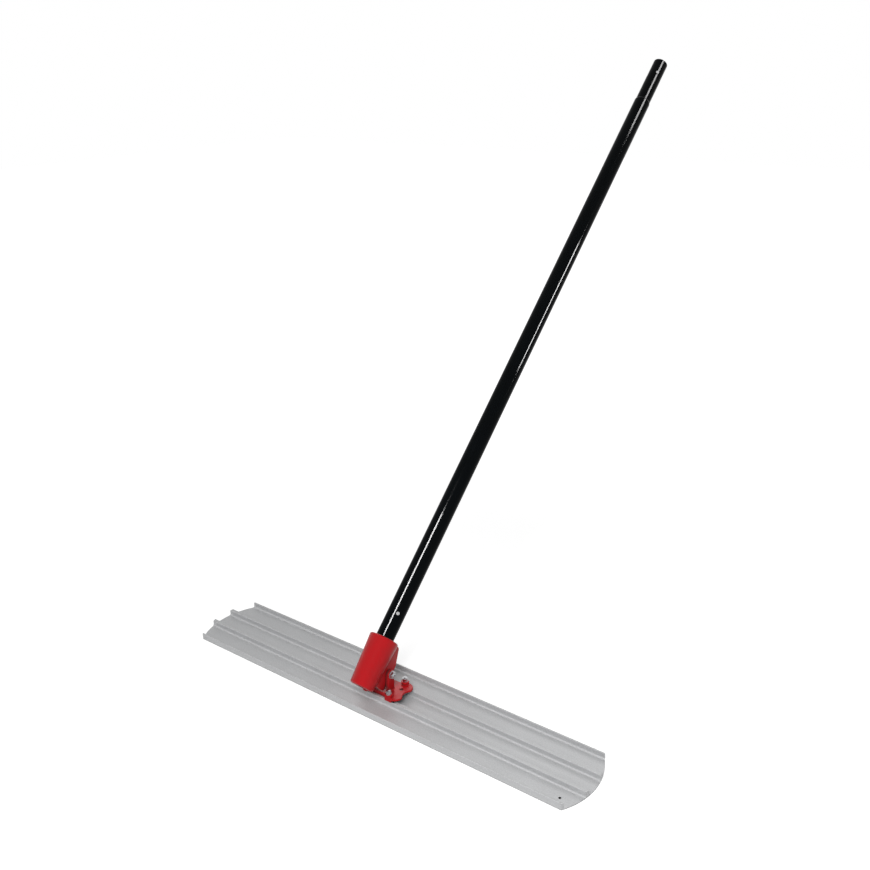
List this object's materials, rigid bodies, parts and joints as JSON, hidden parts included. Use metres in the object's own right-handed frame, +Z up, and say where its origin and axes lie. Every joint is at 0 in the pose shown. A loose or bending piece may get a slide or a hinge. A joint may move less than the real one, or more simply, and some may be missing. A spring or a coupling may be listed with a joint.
{
  "type": "bull float",
  "caption": "Concrete bull float: long ribbed aluminium blade on a black tube pole, joined by a red bracket whose worm drive tilts the blade when the pole is twisted.",
  "frame": {"origin": "middle of the blade's flat sole, on the ground", "axes": "+X along the blade, +Y towards the worker and the pole's upper end, +Z up"},
  "size_m": [1.22, 1.555, 1.5114],
  "materials": {
    "blade_aluminium": "satin",
    "red_paint": "gloss",
    "zinc_steel": "satin",
    "gear_bronze": "satin",
    "machined_steel": "satin",
    "adapter_aluminium": "satin",
    "black_pole": "gloss",
    "black_nylon": "matte",
    "black_rubber": "matte",
    "button_steel": "polished",
    "spring_steel": "satin"
  },
  "bodies": {
    "float_head": {"float_blade": "blade_aluminium", "base_bracket": "red_paint", "bracket_studs": "zinc_steel", "bracket_nuts": "zinc_steel", "bracket_lock_washers": "zinc_steel", "bracket_washers": "zinc_steel", "pivot_axle": "zinc_steel", "pivot_nut": "zinc_steel", "pivot_washers": "zinc_steel", "worm_wheel": "gear_bronze", "wheel_key": "machined_steel"},
    "tilt_housing": {"gear_housing": "red_paint", "pivot_bushes": "gear_bronze", "lower_bush": "gear_bronze", "upper_bush": "black_nylon", "pole_seal": "black_rubber", "thrust_washer": "gear_bronze", "retainer_washer": "machined_steel"},
    "pole": {"worm_screw": "machined_steel", "retaining_ring": "machined_steel", "handle_adapter": "adapter_aluminium", "adapter_pin": "machined_steel", "pole_tube": "black_pole", "lower_button_spring": "spring_steel", "upper_button_spring": "spring_steel"},
    "lower_button": {"lower_button": "button_steel"},
    "upper_button": {"upper_button": "button_steel"}
  },
  "joints": [
    {"name": "bracket_tilt", "type": "hinge", "parent": "float_head", "child": "tilt_housing", "pos_m": [0, -0.0105, 0.078], "axis": [1, 0, 0], "range_deg": [-30, 25]},
    {"name": "pole_twist", "type": "hinge", "parent": "tilt_housing", "child": "pole", "pos_m": [0, -0.04466, 0.11451], "axis": [0, 0.7302, 0.6833], "range_deg": [-375, 450]},
    {"name": "lower_button_push", "type": "slide", "parent": "pole", "child": "lower_button", "axis": [-0.6428, 0.5234, -0.5593], "range_m": [0, 0.0045], "stiffness_N_per_m": 3300, "springref_m": -0.0015, "deforming": ["lower_button_spring"]},
    {"name": "upper_button_push", "type": "slide", "parent": "pole", "child": "upper_button", "axis": [-0.6428, 0.5234, -0.5593], "range_m": [0, 0.0045], "stiffness_N_per_m": 3300, "springref_m": -0.0015, "deforming": ["upper_button_spring"]}
  ],
  "couplings": [
    {"joint": "pole_twist", "follows": "bracket_tilt", "ratio": -15}
  ]
}
